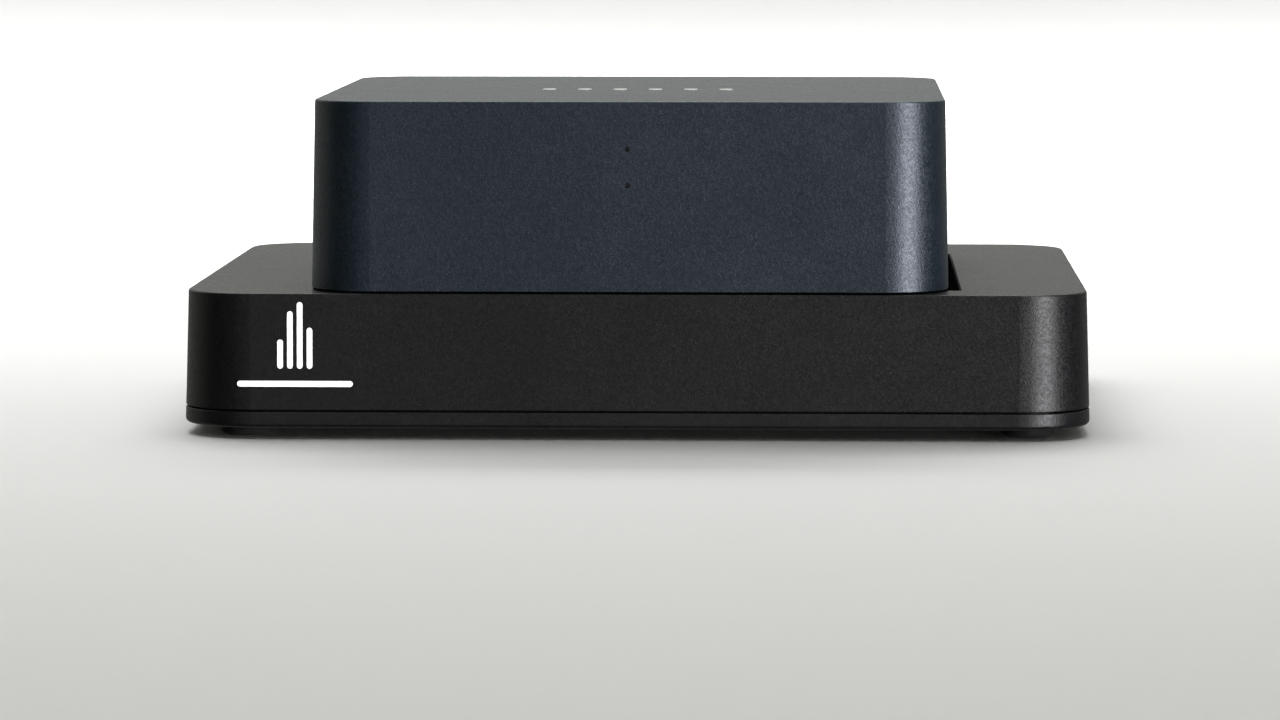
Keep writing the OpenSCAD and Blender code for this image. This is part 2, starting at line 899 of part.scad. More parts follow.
module phono_sleeves() {
    color(steel_colour)
        on_dock()
            for (p = phono_all)
                difference() {
                    union() {
                        rod_y(p[0], p[1], phono_back_y, module_panel_y + 1, phono_seat_r);
                        rod_y(p[0], p[1], module_panel_y + 0.4, module_panel_y + phono_reach,
                            phono_r);
                    }
                    rod_y(p[0], p[1], phono_back_y - 1, module_panel_y + phono_reach + 1,
                        phono_r - 0.7);
                }
}

// The coloured ring inside a phono sleeve
module phono_ring(place) {
    difference() {
        rod_y(place[0], place[1], phono_back_y, module_panel_y + phono_reach - 1, phono_r - 0.7);
        rod_y(place[0], place[1], phono_back_y - 1, module_panel_y + phono_reach, 1.95);
    }
}

module phono_rings_white() {
    color("white")
        on_dock()
            for (p = phono_left)
                phono_ring(p);
}

module phono_rings_red() {
    color([0.75, 0.06, 0.05])
        on_dock()
            for (p = phono_right)
                phono_ring(p);
}

module phono_ring_orange() {
    color([0.95, 0.42, 0.05])
        on_dock()
            phono_ring(phono_coax);
}

module phono_contacts() {
    color(gold_colour)
        on_dock()
            for (p = phono_all)
                difference() {
                    rod_y(p[0], p[1], phono_back_y, module_panel_y + phono_reach - 1.6, 1.95);
                    rod_y(p[0], p[1], phono_back_y + 1, module_panel_y + phono_reach, 1.6);
                }
}

// Two optical sockets: square blocks with a deep square mouth
module optical_jacks() {
    mouth_y = module_panel_y + 0.3;
    color(socket_colour)
        on_dock()
            for (x = optical_x)
                difference() {
                    box([x - optical_size[0] / 2, mouth_y - optical_size[1], board_top],
                        [x + optical_size[0] / 2, mouth_y, board_top + optical_size[2]]);
                    box([x - 3.4, mouth_y - 9.5, optical_mid_z - 3],
                        [x + 3.4, mouth_y + 1, optical_mid_z + 4.4]);
                    translate([x - 4.1, flap_hinge_y, flap_hinge_z])
                        rotate([0, 90, 0])
                            cylinder(r = 0.36, h = 8.2, $fn = 32);
                }
}

module flap_pins() {
    color(steel_colour)
        on_dock()
            for (x = optical_x)
                translate([x - 4, flap_hinge_y, flap_hinge_z])
                    rotate([0, 90, 0])
                        cylinder(r = 0.35, h = 8, $fn = 32);
}

// A sprung flap that closes an optical socket: plate and knuckle round its pin
module optical_flap(x) {
    half_w = 3.15;
    color(socket_colour)
        on_dock()
            translate([x, flap_hinge_y, flap_hinge_z])
                difference() {
                    union() {
                        box([-half_w, -0.2, -6.05], [half_w, 0.5, 0]);
                        translate([-half_w, 0, 0])
                            rotate([0, 90, 0])
                                cylinder(r = 0.75, h = 2 * half_w, $fn = 32);
                    }
                    translate([-half_w - 1, 0, 0])
                        rotate([0, 90, 0])
                            cylinder(r = 0.41, h = 2 * half_w + 2, $fn = 32);
                }
}

module optical_out_flap() {
    optical_flap(optical_x[1]);
}

module optical_in_flap() {
    optical_flap(optical_x[0]);
}

// Metal can of the network socket
module lan_shield() {
    skin = 0.4;
    color(steel_colour)
        on_dock()
            translate([lan_x, 0, board_top])
                difference() {
                    box([-lan_size[0] / 2, module_panel_y + 0.4 - lan_size[1], 0],
                        [lan_size[0] / 2, module_panel_y + 0.4, lan_size[2]]);
                    box([-lan_size[0] / 2 + skin, module_panel_y + 0.4 - lan_size[1] + skin, skin],
                        [lan_size[0] / 2 - skin, module_panel_y + 1, lan_size[2] - skin]);
                }
}

// Plastic inside of the network socket, with the plug's mouth and the slot for its catch
module lan_core() {
    front_y = module_panel_y + 0.2;
    color(socket_colour)
        on_dock()
            translate([lan_x, 0, board_top])
                difference() {
                    box([-7.6, front_y - 20.5, 0.4], [7.6, front_y, lan_size[2] - 0.4]);
                    box([-5.9, front_y - 14, 3.8], [5.9, front_y + 1, 10.6]);
                    box([-3, front_y - 8, 1.6], [3, front_y + 1, 5]);
                }
}

module usb_inlet_shell() {
    color(steel_colour)
        on_dock()
            flat_socket_shell(usb_x, board_top + 1.73, module_panel_y);
}

module usb_inlet_core() {
    color(socket_colour)
        on_dock()
            flat_socket_core(usb_x, board_top + 1.73, module_panel_y, board_top);
}

module trigger_jack() {
    color(socket_colour)
        on_dock()
            round_jack(trigger_jack_x, trigger_jack_z, module_panel_y, board_top);
}

module pair_switch() {
    color(chip_colour)
        on_dock()
            push_switch(pair_x, button_z, module_panel_y, board_top);
}

// Cap and plunger of the pairing button, moulded in one
module pair_button() {
    color(socket_colour)
        on_dock()
            union() {
                push_button(pair_x, button_z, module_panel_y);
                push_plunger(pair_x, button_z, module_panel_y);
            }
}

dock_top_shell();
dock_bottom_cover();
bay_tray();
tray_screws();
dock_feet();
dock_screws();
dock_rear_panel();
front_mark();
control_board();
control_board_screws();
control_processor();
power_inductors();
supply_capacitors();
infrared_emitters();
infrared_receiver();
power_inlet_shell();
power_inlet_core();
power_outlet_shell();
power_outlet_core();
remote_jacks();
setup_switch();
setup_button();
setup_plunger();
module_housing();
module_base();
module_pads();
module_screws();
module_rear_panel();
top_mark();
main_board();
main_board_screws();
radio_board();
radio_shield();
radio_antennas();
antenna_leads();
main_processor();
heat_sink();
memory_chips();
audio_chips();
filter_capacitors();
light_board();
light_guides();
light_ribbon();
phono_blocks();
phono_sleeves();
phono_rings_white();
phono_rings_red();
phono_ring_orange();
phono_contacts();
optical_jacks();
flap_pins();
optical_out_flap();
optical_in_flap();
lan_shield();
lan_core();
usb_inlet_shell();
usb_inlet_core();
trigger_jack();
pair_switch();
pair_button();
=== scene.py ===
import json
import math

import bmesh
import bpy
import numpy as np
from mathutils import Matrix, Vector


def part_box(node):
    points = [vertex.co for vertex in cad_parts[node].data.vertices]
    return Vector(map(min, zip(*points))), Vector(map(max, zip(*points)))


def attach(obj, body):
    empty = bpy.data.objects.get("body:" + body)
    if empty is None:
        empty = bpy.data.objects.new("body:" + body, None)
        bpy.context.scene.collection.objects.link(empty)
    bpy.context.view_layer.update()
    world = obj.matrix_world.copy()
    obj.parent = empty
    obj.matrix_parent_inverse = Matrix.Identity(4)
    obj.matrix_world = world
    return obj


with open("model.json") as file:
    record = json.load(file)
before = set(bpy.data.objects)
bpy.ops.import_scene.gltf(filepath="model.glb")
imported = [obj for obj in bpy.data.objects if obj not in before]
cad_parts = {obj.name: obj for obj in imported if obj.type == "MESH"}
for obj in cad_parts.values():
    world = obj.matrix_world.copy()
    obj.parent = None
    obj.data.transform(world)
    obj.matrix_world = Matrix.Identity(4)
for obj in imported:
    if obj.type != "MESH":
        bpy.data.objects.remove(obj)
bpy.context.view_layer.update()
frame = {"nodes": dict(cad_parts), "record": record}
nodes = frame["nodes"]
MM = 0.001


# ---- Camera: in front of the dock and a little above it ----

CAMERA_PLACE = (0.04335, -1.24554, 0.12528)
CAMERA_DIP = 5.270
CAMERA_TURN = 2.065
CAMERA_LENS = 151.07


def make_camera():
    data = bpy.data.cameras.new("camera")
    data.sensor_width = 36.0
    data.lens = CAMERA_LENS
    data.clip_start = 0.01
    data.clip_end = 50.0
    data.dof.use_dof = False
    camera = bpy.data.objects.new("camera", data)
    camera.location = CAMERA_PLACE
    camera.rotation_euler = (math.radians(90.0 - CAMERA_DIP), 0.0, math.radians(CAMERA_TURN))
    bpy.context.scene.collection.objects.link(camera)
    bpy.context.scene.camera = camera


# ---- Material kit: every builder below works in object space, in metres ----

class Nodes:
    """A material's node tree with short calls for the few node types used here."""

    def __init__(self, name, roughness=0.5, metallic=0.0, specular=0.5):
        self.material = bpy.data.materials.new(name)
        self.material.use_nodes = True
        self.tree = self.material.node_tree
        self.shader = self.tree.nodes["Principled BSDF"]
        self.shader.inputs["Roughness"].default_value = roughness
        self.shader.inputs["Metallic"].default_value = metallic
        self.shader.inputs["Specular IOR Level"].default_value = specular
        self.place = self.tree.nodes.new("ShaderNodeTexCoord").outputs["Object"]

    def link(self, source, target):
        self.tree.links.new(source, target)

    def noise(self, size, detail=2.0, rough=0.5, stretch=None):
        """Noise with features of about size millimetres; output 0 to 1."""
        node = self.tree.nodes.new("ShaderNodeTexNoise")
        node.inputs["Scale"].default_value = 1.0 / (size * MM)
        node.inputs["Detail"].default_value = detail
        node.inputs["Roughness"].default_value = rough
        where = self.place
        if stretch:
            mapping = self.tree.nodes.new("ShaderNodeMapping")
            mapping.inputs["Scale"].default_value = stretch
            self.link(where, mapping.inputs["Vector"])
            where = mapping.outputs["Vector"]
        self.link(where, node.inputs["Vector"])
        return node.outputs["Fac"]

    def cells(self, size, metric="EUCLIDEAN", shuffle=1.0):
        """Cells of about size millimetres, with a distance and a random colour each."""
        node = self.tree.nodes.new("ShaderNodeTexVoronoi")
        node.distance = metric
        node.inputs["Scale"].default_value = 1.0 / (size * MM)
        node.inputs["Randomness"].default_value = shuffle
        self.link(self.place, node.inputs["Vector"])
        return node

    def span(self, value, low, high, to_low, to_high):
        """Maps value from low..high to to_low..to_high, held at the ends."""
        node = self.tree.nodes.new("ShaderNodeMapRange")
        node.inputs["From Min"].default_value = low
        node.inputs["From Max"].default_value = high
        node.inputs["To Min"].default_value = to_low
        node.inputs["To Max"].default_value = to_high
        self.link(value, node.inputs["Value"])
        return node.outputs["Result"]

    def math(self, kind, a, b):
        """One sum on two values, each a number or a socket."""
        node = self.tree.nodes.new("ShaderNodeMath")
        node.operation = kind
        for socket, value in zip(node.inputs, (a, b)):
            if isinstance(value, (int, float)):
                socket.default_value = value
            else:
                self.link(value, socket)
        return node.outputs["Value"]

    def mix(self, share, a, b):
        """Colour a where share is 0 and b where it is 1; a and b are colours or sockets."""
        node = self.tree.nodes.new("ShaderNodeMix")
        node.data_type = "RGBA"
        self.link(share, node.inputs["Factor"])
        for name, value in (("A", a), ("B", b)):
            socket = [s for s in node.inputs if s.name == name and s.type == "RGBA"][0]
            if isinstance(value, tuple):
                socket.default_value = (*value, 1.0)
            else:
                self.link(value, socket)
        return [s for s in node.outputs if s.type == "RGBA"][0]

    def axis(self, name):
        """One coordinate of the place, in metres."""
        node = self.tree.nodes.new("ShaderNodeSeparateXYZ")
        self.link(self.place, node.inputs["Vector"])
        return node.outputs[name]

    def part(self, colour, name):
        """One channel of a colour."""
        node = self.tree.nodes.new("ShaderNodeSeparateColor")
        self.link(colour, node.inputs["Color"])
        return node.outputs[name]

    def stripes(self, coordinate, pitch, share):
        """1 on stripes that repeat every pitch millimetres and fill that share of it."""
        turns = self.math("MULTIPLY", coordinate, 1.0 / (pitch * MM))
        return self.math("LESS_THAN", self.math("FRACT", turns, 0.0), share)

    def facing(self, name):
        """How far a face looks along that axis, from -1 to 1."""
        geometry = self.tree.nodes.new("ShaderNodeNewGeometry")
        split = self.tree.nodes.new("ShaderNodeSeparateXYZ")
        self.link(geometry.outputs["Normal"], split.inputs["Vector"])
        return split.outputs[name]

    def bump(self, height, depth):
        """A bump whose height 0 to 1 stands for depth millimetres."""
        node = self.tree.nodes.new("ShaderNodeBump")
        node.inputs["Strength"].default_value = 1.0
        node.inputs["Distance"].default_value = depth * MM
        self.link(height, node.inputs["Height"])
        return node.outputs["Normal"]

    def colour(self, source):
        self.link(source, self.shader.inputs["Base Color"])

    def rough(self, source):
        self.link(source, self.shader.inputs["Roughness"])

    def normal(self, source):
        self.link(source, self.shader.inputs["Normal"])


FLAKE_SPREAD = 0.09
SPECK_SIZE = 2.3
FLAKE_SIZE = 1.2
SHADE_OF_SPECKS = 0.7
SHINE_OF_GRAINS = 1.5


def satin_plastic(name, dark, light, rough_low, rough_high, grain, depth, specular=0.5, tint=None):
    """Moulded plastic with a spark-eroded grain, faint clouding and thin handling marks."""
    n = Nodes(name, specular=specular)
    if tint:
        n.shader.inputs["Specular Tint"].default_value = (*tint, 1.0)
    cloud = n.noise(38.0, 3.0, 0.55)
    fine = n.noise(grain, 3.0, 0.6)
    speck = n.noise(grain * SPECK_SIZE, 1.0, 0.5)
    handled = n.noise(13.0, 4.0, 0.62, stretch=(1.0, 1.0, 2.2))
    shade = n.mix(n.span(cloud, 0.3, 0.7, 0.0, 1.0), dark, light)
    low = tuple(c * SHADE_OF_SPECKS for c in dark)
    high = tuple(c * SHINE_OF_GRAINS for c in light)
    shade = n.mix(n.span(speck, 0.55, 0.75, 0.0, 0.7), shade, low)
    n.colour(n.mix(n.span(fine, 0.58, 0.8, 0.0, 0.8), shade, high))
    flake = n.part(n.cells(grain * FLAKE_SIZE).outputs["Color"], "Red")
    wear = n.math("ADD", n.span(cloud, 0.3, 0.7, rough_low, rough_high),
                  n.span(flake, 0.0, 1.0, -FLAKE_SPREAD, FLAKE_SPREAD))
    n.rough(n.math("ADD", wear, n.span(handled, 0.56, 0.72, 0.0, 0.05)))
    n.normal(n.bump(n.math("ADD", fine, n.math("MULTIPLY", speck, 0.8)), depth))
    return n.material


def soft_rubber(name):
    """Matt rubber with mould pores and a little pale dust."""
    n = Nodes(name, specular=0.2)
    pores = n.noise(0.35, 3.0, 0.6)
    dust = n.noise(4.0, 4.0, 0.65)
    n.colour(n.mix(n.span(dust, 0.5, 0.8, 0.0, 1.0), (0.0045, 0.0045, 0.0045), (0.012, 0.0115, 0.011)))
    n.rough(n.span(pores, 0.3, 0.7, 0.78, 0.94))
    n.normal(n.bump(pores, 0.03))
    return n.material


def printed_board(name, mask, track):
    """Circuit board: tracks in two directions under a glossy mask, tinned pads, bare fibre edges."""
    n = Nodes(name)
    fields = n.cells(9.0, metric="CHEBYCHEV", shuffle=0.7)
    turn = n.math("GREATER_THAN", n.part(fields.outputs["Color"], "Red"), 0.5)
    used = n.math("GREATER_THAN", n.part(fields.outputs["Color"], "Green"), 0.3)
    one_way = n.math("MULTIPLY", turn, n.stripes(n.axis("X"), 0.7, 0.38))
    other_way = n.math("MULTIPLY", n.math("SUBTRACT", 1.0, turn), n.stripes(n.axis("Y"), 0.7, 0.38))
    tracks = n.math("MULTIPLY", used, n.math("ADD", one_way, other_way))
    pads = n.math("LESS_THAN", n.cells(2.4).outputs["Distance"], 0.12)
    upright = n.math("LESS_THAN", n.math("ABSOLUTE", n.facing("Z"), 0.0), 0.5)
    weave = n.noise(0.35, 2.0, 0.5, stretch=(1.0, 1.0, 0.2))
    fibre = n.mix(weave, (0.20, 0.19, 0.09), (0.34, 0.32, 0.17))
    face = n.mix(pads, n.mix(tracks, mask, track), (0.62, 0.61, 0.58))
    n.colour(n.mix(upright, face, fibre))
    n.link(n.math("MULTIPLY", pads, n.math("SUBTRACT", 1.0, upright)), n.shader.inputs["Metallic"])
    gloss = n.span(n.noise(3.0, 3.0), 0.3, 0.7, 0.24, 0.34)
    n.rough(n.math("ADD", gloss, n.math("MULTIPLY", upright, 0.4)))
    n.normal(n.bump(n.math("ADD", tracks, pads), 0.035))
    return n.material


def metal(name, clean, worn, rough_low, rough_high, line, stretch=(1.0, 1.0, 1.0), depth=0.004):
    """Metal with drawn, rolled or turned lines and a faint cloud of wear."""
    n = Nodes(name, metallic=1.0)
    lines = n.noise(line, 2.0, 0.5, stretch=stretch)
    cloud = n.noise(5.0, 4.0, 0.6)
    n.colour(n.mix(n.span(cloud, 0.4, 0.72, 0.0, 1.0), clean, worn))
    wear = n.math("ADD", n.span(cloud, 0.3, 0.7, rough_low, rough_high),
                  n.span(lines, 0.3, 0.7, -0.05, 0.05))
    n.rough(wear)
    n.normal(n.bump(lines, depth))
    return n.material


def capacitor_can(name):
    """Capacitors in a dark printed sleeve with a pale stripe on one side and bare metal tops."""
    n = Nodes(name)
    top = n.span(n.facing("Z"), 0.35, 0.6, 0.0, 1.0)
    stripe = n.math("GREATER_THAN", n.facing("X"), 0.9)
    cloud = n.noise(1.6, 3.0, 0.6)
    sleeve = n.mix(stripe, (0.008, 0.010, 0.022), (0.42, 0.42, 0.40))
    bare = n.mix(cloud, (0.52, 0.53, 0.55), (0.66, 0.67, 0.68))
    n.colour(n.mix(top, sleeve, bare))
    n.link(top, n.shader.inputs["Metallic"])
    n.rough(n.span(cloud, 0.3, 0.7, 0.26, 0.4))
    n.normal(n.bump(n.noise(0.3, 2.0), 0.008))
    return n.material


def chip_epoxy(name):
    """Black moulding compound: pale filler grains and a soft sheen."""
    n = Nodes(name, specular=0.4)
    grain = n.noise(0.12, 2.0, 0.6)
    flecks = n.math("LESS_THAN", n.cells(0.3).outputs["Distance"], 0.16)
    n.colour(n.mix(n.math("MULTIPLY", flecks, 0.6), (0.010, 0.010, 0.011), (0.03, 0.03, 0.031)))
    n.rough(n.span(grain, 0.3, 0.7, 0.5, 0.64))
    n.normal(n.bump(grain, 0.012))
    return n.material


def ferrite(name):
    """Pressed iron powder: coarse dark grains with metallic flecks."""
    n = Nodes(name)
    grain = n.cells(0.35)
    shade = n.part(grain.outputs["Color"], "Red")
    n.colour(n.mix(shade, (0.028, 0.028, 0.031), (0.075, 0.075, 0.08)))
    n.rough(n.span(shade, 0.0, 1.0, 0.42, 0.62))
    n.normal(n.bump(grain.outputs["Distance"], 0.02))
    return n.material


def coloured_plastic(name, dark, light):
    """Smooth coloured moulding with slight flow lines."""
    n = Nodes(name)
    flow = n.noise(2.2, 3.0, 0.6, stretch=(1.0, 0.3, 1.0))
    fine = n.noise(0.15, 2.0)
    n.colour(n.mix(flow, dark, light))
    n.rough(n.span(fine, 0.3, 0.7, 0.3, 0.42))
    n.normal(n.bump(fine, 0.006))
    return n.material


def clear_moulding(name, dark, light, rough, share):
    """Clear or tinted moulding with faint inner streaks."""
    n = Nodes(name)
    streaks = n.noise(0.9, 3.0, 0.6, stretch=(1.0, 0.25, 1.0))
    n.colour(n.mix(streaks, dark, light))
    n.shader.inputs["Transmission Weight"].default_value = share
    n.rough(n.span(streaks, 0.3, 0.7, rough, rough + 0.1))
    n.normal(n.bump(streaks, 0.006))
    return n.material


def flat_ribbon(name):
    """Flat cable: tinned conductors that show through a cream film."""
    n = Nodes(name)
    wires = n.stripes(n.axis("X"), 0.5, 0.56)
    film = n.noise(1.5, 3.0)
    cream = n.mix(film, (0.50, 0.45, 0.33), (0.62, 0.57, 0.44))
    n.colour(n.mix(wires, cream, (0.52, 0.51, 0.49)))
    n.rough(n.span(film, 0.3, 0.7, 0.32, 0.45))
    n.normal(n.bump(wires, 0.03))
    return n.material


def print_ink(name, dark, light, rough):
    """Screen-printed ink: small pores and a slightly uneven coat."""
    n = Nodes(name, specular=0.3)
    coat = n.noise(1.1, 3.0, 0.6)
    pores = n.noise(0.12, 2.0, 0.6)
    n.colour(n.mix(n.span(coat, 0.3, 0.7, 0.0, 1.0), dark, light))
    n.rough(n.span(pores, 0.3, 0.7, rough - 0.06, rough + 0.06))
    n.normal(n.bump(pores, 0.008))
    return n.material


def make_plastics():
    """Mouldings: colours, roughness range, grain size and depth in millimetres, then specular level."""
    made = {}
    made["dock_plastic"] = satin_plastic(
        "dock_plastic", (0.0033, 0.0033, 0.0038), (0.0045, 0.0045, 0.0050),
        0.35, 0.39, 0.38, 0.038, 0.26)
    made["module_plastic"] = satin_plastic(
        "module_plastic", (0.0032, 0.0064, 0.0094), (0.0046, 0.0082, 0.0116),
        0.35, 0.39, 0.36, 0.05, 0.48, (0.82, 0.895, 1.0))
    made["tray_plastic"] = satin_plastic(
        "tray_plastic", (0.014, 0.014, 0.0145), (0.020, 0.020, 0.0205), 0.5, 0.6, 0.4, 0.03, 0.4)
    made["panel_plastic"] = satin_plastic(
        "panel_plastic", (0.0075, 0.0075, 0.008), (0.010, 0.010, 0.0105), 0.42, 0.5, 0.32, 0.025, 0.4)
    made["socket_plastic"] = satin_plastic(
        "socket_plastic", (0.006, 0.006, 0.0065), (0.009, 0.009, 0.0095), 0.3, 0.38, 0.25, 0.01, 0.5)
    made["button_plastic"] = satin_plastic(
        "button_plastic", (0.016, 0.016, 0.017), (0.022, 0.022, 0.023), 0.34, 0.42, 0.25, 0.015, 0.45)
    made["lead_jacket"] = satin_plastic(
        "lead_jacket", (0.007, 0.007, 0.007), (0.011, 0.011, 0.011), 0.36, 0.46, 0.3, 0.02, 0.4)
    made["rubber"] = soft_rubber("rubber")
    made["ring_white"] = coloured_plastic("ring_white", (0.72, 0.72, 0.69), (0.8, 0.8, 0.77))
    made["ring_red"] = coloured_plastic("ring_red", (0.46, 0.010, 0.010), (0.58, 0.018, 0.014))
    made["ring_orange"] = coloured_plastic("ring_orange", (0.78, 0.20, 0.012), (0.86, 0.26, 0.02))
    # The near-black tint of the light guides and lamp windows is partly their smoked colour and partly
    # painted shade: it makes the pinholes over the light guides read dark.
    made["clear_guide"] = clear_moulding(
        "clear_guide", (0.008, 0.009, 0.010), (0.014, 0.015, 0.016), 0.25, 0.3)
    made["infrared_plastic"] = clear_moulding(
        "infrared_plastic", (0.020, 0.006, 0.026), (0.034, 0.012, 0.042), 0.12, 0.25)
    return made


def make_metals():
    """Metals: clean and worn colours, roughness range, line width and the way the lines run."""
    made = {}
    made["plated_steel"] = metal(
        "plated_steel", (0.58, 0.59, 0.60), (0.48, 0.48, 0.46), 0.26, 0.4, 0.4)
    made["nickel"] = metal(
        "nickel", (0.66, 0.64, 0.60), (0.56, 0.54, 0.49), 0.18, 0.28, 0.16, (0.06, 1.0, 0.06))
    made["contact_gold"] = metal(
        "contact_gold", (0.83, 0.60, 0.24), (0.74, 0.50, 0.18), 0.18, 0.28, 0.16, (1.0, 0.1, 1.0))
    made["heat_sink_aluminium"] = metal(
        "heat_sink_aluminium", (0.52, 0.53, 0.55), (0.44, 0.45, 0.47),
        0.34, 0.46, 0.22, (1.0, 0.03, 1.0), 0.01)
    return made


def make_materials():
    """One material for each slot of the record."""
    made = {**make_plastics(), **make_metals()}
    made["circuit_board"] = printed_board("circuit_board", (0.004, 0.035, 0.018), (0.010, 0.080, 0.040))
    made["radio_circuit"] = printed_board("radio_circuit", (0.004, 0.012, 0.060), (0.012, 0.034, 0.130))
    made["chip_epoxy"] = chip_epoxy("chip_epoxy")
    made["capacitor_can"] = capacitor_can("capacitor_can")
    made["inductor_ferrite"] = ferrite("inductor_ferrite")
    made["ribbon"] = flat_ribbon("ribbon")
    made["mark_ink"] = print_ink("mark_ink", (0.80, 0.80, 0.79), (0.88, 0.88, 0.87), 0.42)
    # The top mark's light grey is partly the logo's print and partly painted highlight: it stands in for
    # the glint on the letters' bevels.
    made["top_mark_ink"] = print_ink("top_mark_ink", (0.30, 0.30, 0.29), (0.38, 0.38, 0.37), 0.36)
    return made


def dress(made):
    """Gives every CAD node the material of its record slot."""
    slot_of = {row["node"]: row["material_slot"] for row in frame["record"]["subparts"]}
    for name, obj in nodes.items():
        obj.data.materials.clear()
        obj.data.materials.append(made[slot_of[name]])


FARTHEST_LEAN = math.cos(math.radians(55.0))


def mend_normals():
    """Faces with a missing or stray corner normal, as on long slivers, are shaded flat."""
    for obj in nodes.values():
        mesh = obj.data
        corners = [corner.vector.copy() for corner in mesh.corner_normals]
        strays = [face for face in mesh.polygons
                  if min(face.normal.dot(corners[i]) for i in face.loop_indices) < FARTHEST_LEAN]
        for face in strays:
            face.use_smooth = False


# ---- Extra pieces: places are in millimetres, in the row frame ----

class Shape:
    """Collects bevelled blocks, turned parts and bent strips into one mesh."""

    def __init__(self):
        self.mesh = bmesh.new()

    def block(self, low, high, edge=0.0):
        """A box between two corners, its edges bevelled by edge."""
        size = [b - a for a, b in zip(low, high)]
        centre = [(a + b) / 2 for a, b in zip(low, high)]
        made = bmesh.ops.create_cube(self.mesh, size=1.0)["verts"]
        for vert in made:
            vert.co = Vector([(centre[i] + vert.co[i] * size[i]) * MM for i in range(3)])
        if edge:
            edges = list({e for v in made for e in v.link_edges})
            bmesh.ops.bevel(self.mesh, geom=edges, offset=edge * MM, segments=2, profile=0.5,
                            affect="EDGES", clamp_overlap=True)

    def turned(self, centre, axis, profile, steps):
        """A closed body turned round a line: profile lists (radius, distance along the axis)."""
        along = Vector(axis).normalized()
        side = along.orthogonal().normalized()
        other = along.cross(side)
        rings = []
        for radius, t in profile:
            middle = Vector(centre) + along * t
            ring = []
            for k in range(steps):
                angle = math.tau * k / steps
                spoke = side * math.cos(angle) + other * math.sin(angle)
                ring.append(self.mesh.verts.new((middle + radius * spoke) * MM))
            rings.append(ring)
        for low, high in zip(rings, rings[1:]):
            for k in range(steps):
                after = (k + 1) % steps
                self.mesh.faces.new((low[k], low[after], high[after], high[k]))

    def ring(self, centre, axis, inner, outer, thick):
        """A flat ring with slightly rounded rims."""
        soft = min(thick, outer - inner) * 0.3
        profile = [(inner, 0.0), (outer, 0.0), (outer, thick - soft), (outer - soft, thick),
                   (inner + soft, thick), (inner, thick - soft), (inner, 0.0)]
        self.turned(centre, axis, profile, 64)

    def strip(self, x, path, width, thick):
        """A bent metal strip: path is a list of (y, z) points and x is its middle."""
        rows = []
        for i, (y, z) in enumerate(path):
            before, after = path[max(i - 1, 0)], path[min(i + 1, len(path) - 1)]
            run = Vector((after[0] - before[0], after[1] - before[1])).normalized()
            up = Vector((-run[1], run[0])) * thick / 2
            row = []
            for a, b in ((-1, -1), (1, -1), (1, 1), (-1, 1)):
                corner = Vector((x + a * width / 2, y + b * up[0], z + b * up[1]))
                row.append(self.mesh.verts.new(corner * MM))
            rows.append(row)
        for low, high in zip(rows, rows[1:]):
            for k in range(4):
                self.mesh.faces.new((low[k], low[(k + 1) % 4], high[(k + 1) % 4], high[k]))
        self.mesh.faces.new(rows[0])
        self.mesh.faces.new(reversed(rows[-1]))

    def plate(self, outline, y0, y1):
        """A flat plate: outline is a list of (x, z) points, and it is y0 to y1 thick."""
        near = [self.mesh.verts.new((x * MM, y0 * MM, z * MM)) for x, z in outline]
        far = [self.mesh.verts.new((x * MM, y1 * MM, z * MM)) for x, z in outline]
        count = len(outline)
        for k in range(count):
            self.mesh.faces.new((near[k], near[(k + 1) % count], far[(k + 1) % count], far[k]))
        self.mesh.faces.new(reversed(near))
        self.mesh.faces.new(far)

    def finish(self, name, slot, body):
        """Makes the mesh an object with its material, riding on its body."""
        bmesh.ops.recalc_face_normals(self.mesh, faces=self.mesh.faces)
        data = bpy.data.meshes.new(name)
        self.mesh.to_mesh(data)
        self.mesh.free()
        data.polygons.foreach_set("use_smooth", [True] * len(data.polygons))
        data.set_sharp_from_angle(angle=math.radians(34.0))
        data.materials.append(made_materials[slot])
        obj = bpy.data.objects.new(name, data)
        bpy.context.scene.collection.objects.link(obj)
        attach(obj, body)


RECEIVER_FACE = 60.0
DOCK_FACE = 79.0
NETWORK_X = -38.0
RECEIVER_INLET = (-52.5, 41.93)
DOCK_INLET_X = -34.0
OUTLET_X = -16.0
DOCK_SOCKET_Z = 13.1
REARWARD = (0, 1, 0)


def network_contacts():
    """Eight sprung wires that slope back from the mouth's upper lip."""
    shape = Shape()
    for i in range(8):
        shape.strip(NETWORK_X + (i - 3.5) * 1.02,
                    [(59.2, 50.62), (58.6, 50.3), (57.8, 49.8), (50.0, 47.3), (48.6, 47.0),
                     (46.3, 47.0)],
                    0.42, 0.28)
    shape.finish("network_contacts", "contact_gold", "receiver")


def network_lamps():
    """Two smoked lamp windows above the network socket's mouth."""
    shape = Shape()
    for side in (-1, 1):
        x = NETWORK_X + side * 5.6
        shape.block((x - 1.3, 59.0, 51.35), (x + 1.3, 60.34, 52.75), 0.12)
    shape.finish("network_lamps", "clear_guide", "receiver")


PAD_DEPTHS = (4.9, 1.2)
PAD_PITCH = 0.5
PAD_HALF = 0.13
TONGUE_HALF = 0.34
PAD_FACE = 0.375


def tongue_pads(name, body, x, z, face_y):
    """Rows of gold pads on both sides of a small power socket's tongue."""
    shape = Shape()
    near, far = (face_y - depth for depth in PAD_DEPTHS)
    for i in range(12):
        middle = x + (i - 5.5) * PAD_PITCH
        for low, high in ((z + TONGUE_HALF, z + PAD_FACE), (z - PAD_FACE, z - TONGUE_HALF)):
            shape.block((middle - PAD_HALF, near, low), (middle + PAD_HALF, far, high), 0.01)
    shape.finish(name, "contact_gold", body)


